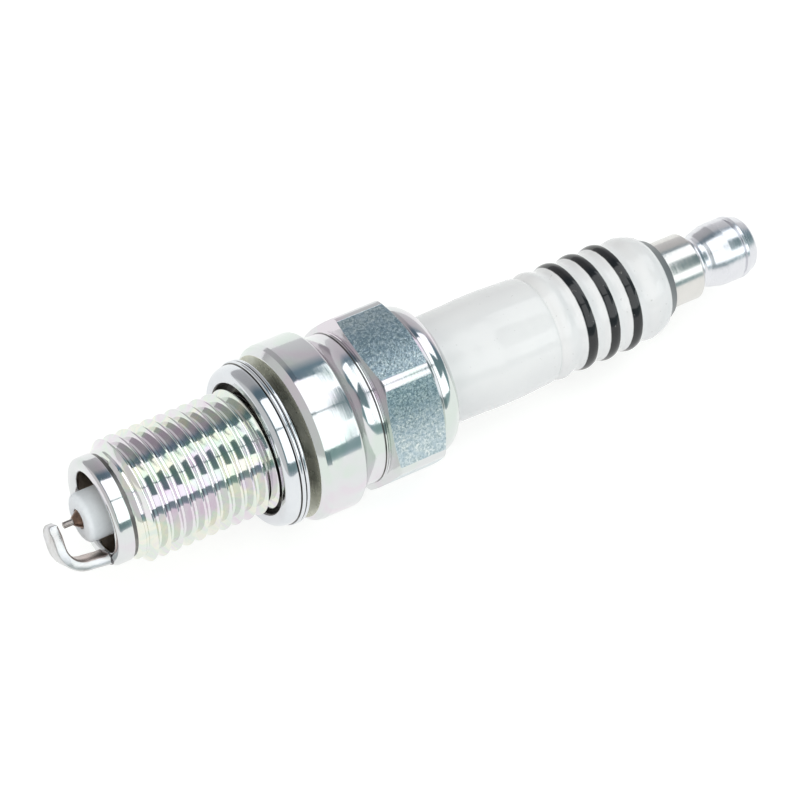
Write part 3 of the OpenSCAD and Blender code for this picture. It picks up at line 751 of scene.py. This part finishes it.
def strap():
    """The ground strap, as its outline in layers across the width, and the weld at its root."""
    pts, inner_from = strap_outline()
    a = math.radians(STRAP_ANGLE)
    rad = Vector((0, -math.sin(a), math.cos(a)))
    side = Vector((1, 0, 0)).cross(rad)
    n = len(pts)
    # each layer's place across the width, and how far its outline is drawn in
    wide, edge = STRAP_W / 2, STRAP_EDGE
    layers = [(-wide, edge), (-wide + edge * 0.3, edge * 0.3), (-wide + edge, 0),
              (0, 0), (wide - edge, 0), (wide - edge * 0.3, edge * 0.3), (wide, edge)]
    verts, faces, face_mats = [], [], []
    # inward normals of the outline, for the rounded long edges
    norm = []
    for i in range(n):
        p, q = Vector(pts[i - 1]), Vector(pts[(i + 1) % n])
        d = (q - p).normalized()
        norm.append(Vector((-d.y, d.x)))
    area = sum(pts[i][0] * pts[(i + 1) % n][1] - pts[(i + 1) % n][0] * pts[i][1] for i in range(n))
    flip = 1 if area > 0 else -1
    for w, ins in layers:
        for (r, x), m in zip(pts, norm):
            k = 0 if abs(x - RIM) < 0.01 else flip
            rr, xx = r + m.x * ins * k, x + m.y * ins * k
            verts.append(tuple(Vector((xx, 0, 0)) + rad * rr + side * w * strap_share(r)))
    for k in range(len(layers) - 1):
        for i in range(n):
            j = (i + 1) % n
            faces.append((k * n + i, k * n + j, (k + 1) * n + j, (k + 1) * n + i))
            face_mats.append(int(inner_from <= i < n - 1))
    faces.append(tuple(range(n)))
    faces.append(tuple(range((len(layers) - 1) * n, len(layers) * n)))
    face_mats += [0, 0]
    obj = link("ground_strap", verts, faces, [M_STRAP, M_STRAP_INNER], face_mats=face_mats)
    sharpen(obj, 50)
    place(obj, ["ground_electrode"])

    # weld flash round the strap's root
    verts, faces = [], []
    ring, tube, square = 72, 10, 5.0
    hw, ht = STRAP_W / 2, STRAP_T / 2
    mid = STRAP_ROOT - STRAP_T / 2
    for i in range(ring):
        t = TAU * i / ring
        c, s = math.cos(t), math.sin(t)
        k = (abs(c) ** square + abs(s) ** square) ** (-1 / square)
        u, v = hw * k * c, ht * k * s
        fat = 0.13 + 0.06 * math.sin(3 * t + 1) + 0.04 * math.sin(7 * t) + random.uniform(-0.02, 0.02)
        centre = rad * (mid + v) + side * u
        outd = (rad * v / ht + side * u / hw).normalized()
        for j in range(tube):
            b = TAU * j / tube
            q = centre + outd * (fat * math.cos(b)) + Vector((RIM - 0.02 - fat * 0.7 * math.sin(b), 0, 0))
            verts.append(tuple(q))
    for i in range(ring):
        for j in range(tube):
            i2, j2 = (i + 1) % ring, (j + 1) % tube
            faces.append((i * tube + j, i * tube + j2, i2 * tube + j2, i2 * tube + j))
    obj = link("strap_weld", verts, faces, [M_WELD])
    place(obj)


# ---------------------------------------------------------------- terminal

FLANGE_AT, NUT_AT, NUT_END = 42.3, 46.3, 53.0
FLANGE_R, NUT_R, NUT_WAIST_R = 3.35, 3.175, 2.6
STUD_R, STUD_ROOT_R, STUD_PITCH, STUD_LEN = 2.0, 1.58, 0.7, 4.6  # M4 x 0.7
STUD_FLOOR = 1.3                                     # where the thread's ends run into the stud's core


def terminal():
    """The stud's flange, its M4 x 0.7 thread and core, and the nut."""
    f0, n0, end, r = FLANGE_AT, NUT_AT, NUT_END, FLANGE_R
    pts = [(1.6, f0), (r, f0), (r, n0 - 0.4), (r - 0.3, n0 - 0.08), (r - 0.5, n0), (1.6, n0)]
    obj = spun("stud_flange", rounded(pts, [0, 0.2, 0.06, 0.08, 0.05, 0], 6), [M_STUD])
    place(obj, ["terminal_stud"])
    top = n0 + STUD_LEN

    def env(x):
        """The most that the stud's thread may stand out at x."""
        if x < n0 - 0.2 or x > top - 0.05:
            return STUD_FLOOR
        return max(STUD_FLOOR, min(1.42 + (x - n0 + 0.5) * 0.75, 1.48 + (top - x) * 1.1))
    obj = thread_mesh("stud_thread", STUD_R, STUD_ROOT_R, STUD_PITCH, n0, top, env, [M_STUD], around=96)
    place(obj, ["terminal_stud"])
    core = [(0, n0 - 0.3), (1.5, n0 - 0.3), (1.5, top - 0.2), (1.4, top - 0.05), (1.2, top), (0, top)]
    obj = spun("stud_core", core, [M_STUD], seg=96)
    place(obj, ["terminal_stud"])

    w, nr, bore = NUT_WAIST_R, NUT_R, STUD_R + 0.05
    pts = [(bore, n0), (w + 0.1, n0), (w + 0.18, n0 + 0.2), (w, n0 + 0.6), (w, n0 + 1.1),
           (w + 0.2, n0 + 1.5), (w + 0.35, n0 + 2.1), (nr - 0.06, n0 + 2.7), (nr, n0 + 3.4),
           (nr, end - 2.05), (nr - 0.22, end - 1.95), (nr - 0.22, end - 1.8), (nr, end - 1.7),
           (nr, end - 1.4), (nr - 0.42, end - 0.35), (nr - 0.8, end), (0, end),
           (0, top + 0.4), (bore, top + 0.4)]
    rad = [0.03, 0.06, 0.15, 0.3, 0.3, 0.4, 0.4, 0.3, 0.3, 0.04, 0.03, 0.03, 0.04, 0.1, 0.15, 0.1, 0, 0, 0.02]
    obj = spun("nut", rounded(pts, rad, 6), [M_NUT], sharp=50)
    place(obj, ["terminal_nut"], "terminal_nut")


# ---------------------------------------------------------------- sealed inner pieces

def inner():
    """The sealed nodes stay as the CAD made them, and get materials."""
    looks = {
        "electrode_copper_core": plain_grain("copper", (0.72, 0.40, 0.27), (0.60, 0.32, 0.22), 0.3, 900, 1.0),
        "seat_washer": plain_grain("packing_steel", (0.55, 0.55, 0.57), (0.42, 0.42, 0.44), 0.35, 900, 1.0),
        "talc_filler": plain_grain("talc", (0.80, 0.78, 0.72), (0.70, 0.68, 0.62), 0.9, 1800),
        "lower_glass_seal": plain_grain("seal_glass", (0.20, 0.21, 0.23), (0.12, 0.12, 0.14), 0.25, 900),
        "resistor": plain_grain("resistor_body", (0.12, 0.12, 0.13), (0.07, 0.07, 0.08), 0.7, 1500),
    }
    looks["front_packing_ring"] = looks["rear_packing_ring"] = looks["seat_washer"]
    looks["upper_glass_seal"] = looks["lower_glass_seal"]
    for name, mat in looks.items():
        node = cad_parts[name]
        node.data.materials.clear()
        node.data.materials.append(mat)


# ---------------------------------------------------------------- studio

FLOOR_A, FLOOR_B = (4.1, -8.62), (13.2, -8.0)   # where the collar and the hexagon touch the floor: (x, z)
FLOOR_SIZE = 4.0
FLOOR_GREY, FLOOR_GLOW = (0.42, 0.42, 0.40), 0.70    # what the camera and the metal see of the floor
LAMP_AT = 1.2                                    # the lamps' distance
AIM_AT = (10, 0, 0)                              # the point they face, in mm


def floor():
    """A white floor that keeps the plug's shadow; it lights the plug as a plain diffuse floor."""
    tilt = math.atan((FLOOR_B[1] - FLOOR_A[1]) / (FLOOR_B[0] - FLOOR_A[0]))
    bpy.ops.mesh.primitive_plane_add(size=FLOOR_SIZE)
    plane = bpy.context.object
    plane.name = "floor"
    plane.matrix_world = (Matrix.Translation(Vector((FLOOR_A[0], 0, FLOOR_A[1])) * MM)
                          @ Matrix.Rotation(-tilt, 4, "Y"))
    mat = bpy.data.materials.new("floor_white")
    t = Tree(mat)
    t.nt.nodes.clear()
    out = t.node("ShaderNodeOutputMaterial")
    lighting = t.node("ShaderNodeBsdfDiffuse")
    lighting.inputs["Color"].default_value = (0.80, 0.80, 0.82, 1)
    shown = t.node("ShaderNodeBsdfDiffuse")
    shown.inputs["Color"].default_value = (*FLOOR_GREY, 1)
    glow = t.node("ShaderNodeEmission")
    glow.inputs["Strength"].default_value = FLOOR_GLOW
    seen = t.node("ShaderNodeAddShader")
    t.link(shown.outputs[0], seen.inputs[0])
    t.link(glow.outputs[0], seen.inputs[1])
    path = t.node("ShaderNodeLightPath")
    by_eye = t.math("MAXIMUM", path.outputs["Is Camera Ray"], path.outputs["Is Glossy Ray"])
    by_eye = t.math("MAXIMUM", by_eye, path.outputs["Is Transmission Ray"])
    mix = t.node("ShaderNodeMixShader")
    t.link(by_eye, mix.inputs[0])
    t.link(lighting.outputs[0], mix.inputs[1])
    t.link(seen.outputs[0], mix.inputs[2])
    t.link(mix.outputs[0], out.inputs[0])
    plane.data.materials.append(mat)


def surroundings():
    """The room that the metal mirrors: light and dark bands round the plug's axis."""
    world = bpy.data.worlds.new("studio")
    bpy.context.scene.world = world
    t = Tree(world)
    coord = t.node("ShaderNodeTexCoord")
    sep = t.node("ShaderNodeSeparateXYZ")
    t.link(coord.outputs["Generated"], sep.inputs[0])
    # the angle round X from straight up, positive towards the camera side (-Y), in degrees
    stops = [(-180, (0.70, 0.70, 0.72)), (-107, (0.68, 0.69, 0.70)), (-96, (0.55, 0.55, 0.56)),
             (-48, (0.42, 0.425, 0.43)), (-34, (0.12, 0.18, 0.22)), (20, (0.11, 0.17, 0.18)),
             (83, (0.20, 0.29, 0.30)), (96, (0.60, 0.62, 0.68)), (108, (0.72, 0.72, 0.74)),
             (180, (0.70, 0.70, 0.72))]
    angle = t.math("ARCTAN2", t.math("MULTIPLY", sep.outputs["Y"], -1), sep.outputs["Z"])
    bands = t.ramp(t.span(angle, -math.pi, math.pi, 0, 1), [((deg + 180) / 360, col) for deg, col in stops])
    # brighter towards +X, and pale behind the firing end
    lifted = t.node("ShaderNodeVectorMath", operation="SCALE")
    t.link(bands, lifted.inputs[0])
    t.link(t.span(sep.outputs["X"], 0.30, 0.36, 1.0, 1.45), lifted.inputs["Scale"])
    pale = t.span(sep.outputs["X"], -0.52, -0.38, 1.0, 0.0)
    colour = t.mix(pale, lifted.outputs["Vector"], (0.70, 0.71, 0.70))
    t.link(colour, t.nt.nodes["Background"].inputs["Color"])


def softbox(name, toward, width, length, radiance):
    """A rectangular lamp in the direction toward, facing the plug."""
    data = bpy.data.lights.new(name, "AREA")
    data.shape = "RECTANGLE"
    data.size = length
    data.size_y = width
    data.energy = radiance * math.pi * length * width
    lamp = bpy.data.objects.new(name, data)
    bpy.context.scene.collection.objects.link(lamp)
    z = Vector(toward).normalized()
    x = (Vector((1, 0, 0)) - z * z.x).normalized()
    rot = Matrix((x, z.cross(x), z)).transposed()
    lamp.matrix_world = Matrix.Translation(Vector(AIM_AT) * MM + z * LAMP_AT) @ rot.to_4x4()
    return lamp


def aim(x, deg):
    """A direction with this x part, at deg round the X axis from straight up, towards -Y."""
    k = math.sqrt(1 - x * x)
    a = math.radians(deg)
    return (x, -k * math.sin(a), k * math.cos(a))


def window(name, x0, x1, deg0, deg1, radiance):
    """A softbox that fills these directions: x part from x0 to x1, and deg0 to deg1 round the X axis."""
    lo, hi = math.asin(x0), math.asin(x1)
    mid = math.sin((lo + hi) / 2)
    length = 2 * LAMP_AT * math.tan((hi - lo) / 2)
    width = 2 * LAMP_AT * math.cos((lo + hi) / 2) * math.tan(math.radians((deg1 - deg0) / 2))
    softbox(name, aim(mid, (deg0 + deg1) / 2), width, length, radiance)


# ---------------------------------------------------------------- the plug in its studio

shell_front()
shell_thread()
shell_collar()
hexagon()
crimp()
gasket()
insulator()
electrode()
strap()
terminal()
inner()
floor()
surroundings()

# two large softboxes that nearly touch, and two beyond their ends that stand apart
window("softbox_top", -0.30, 0.42, -20, 24, 1.5)
window("softbox_side", -0.30, 0.42, 26.5, 72, 1.5)
window("softbox_top_far", 0.43, 0.85, -34, 9, 1.5)
window("softbox_side_far", 0.43, 0.85, 45, 74, 1.5)

# a fill for the matte and glazed ceramic, which the metal doesn't mirror
fill = softbox("softbox_fill", (-0.90, -0.30, 0.30), 0.9, 0.9, 1.6)
fill.visible_glossy = False
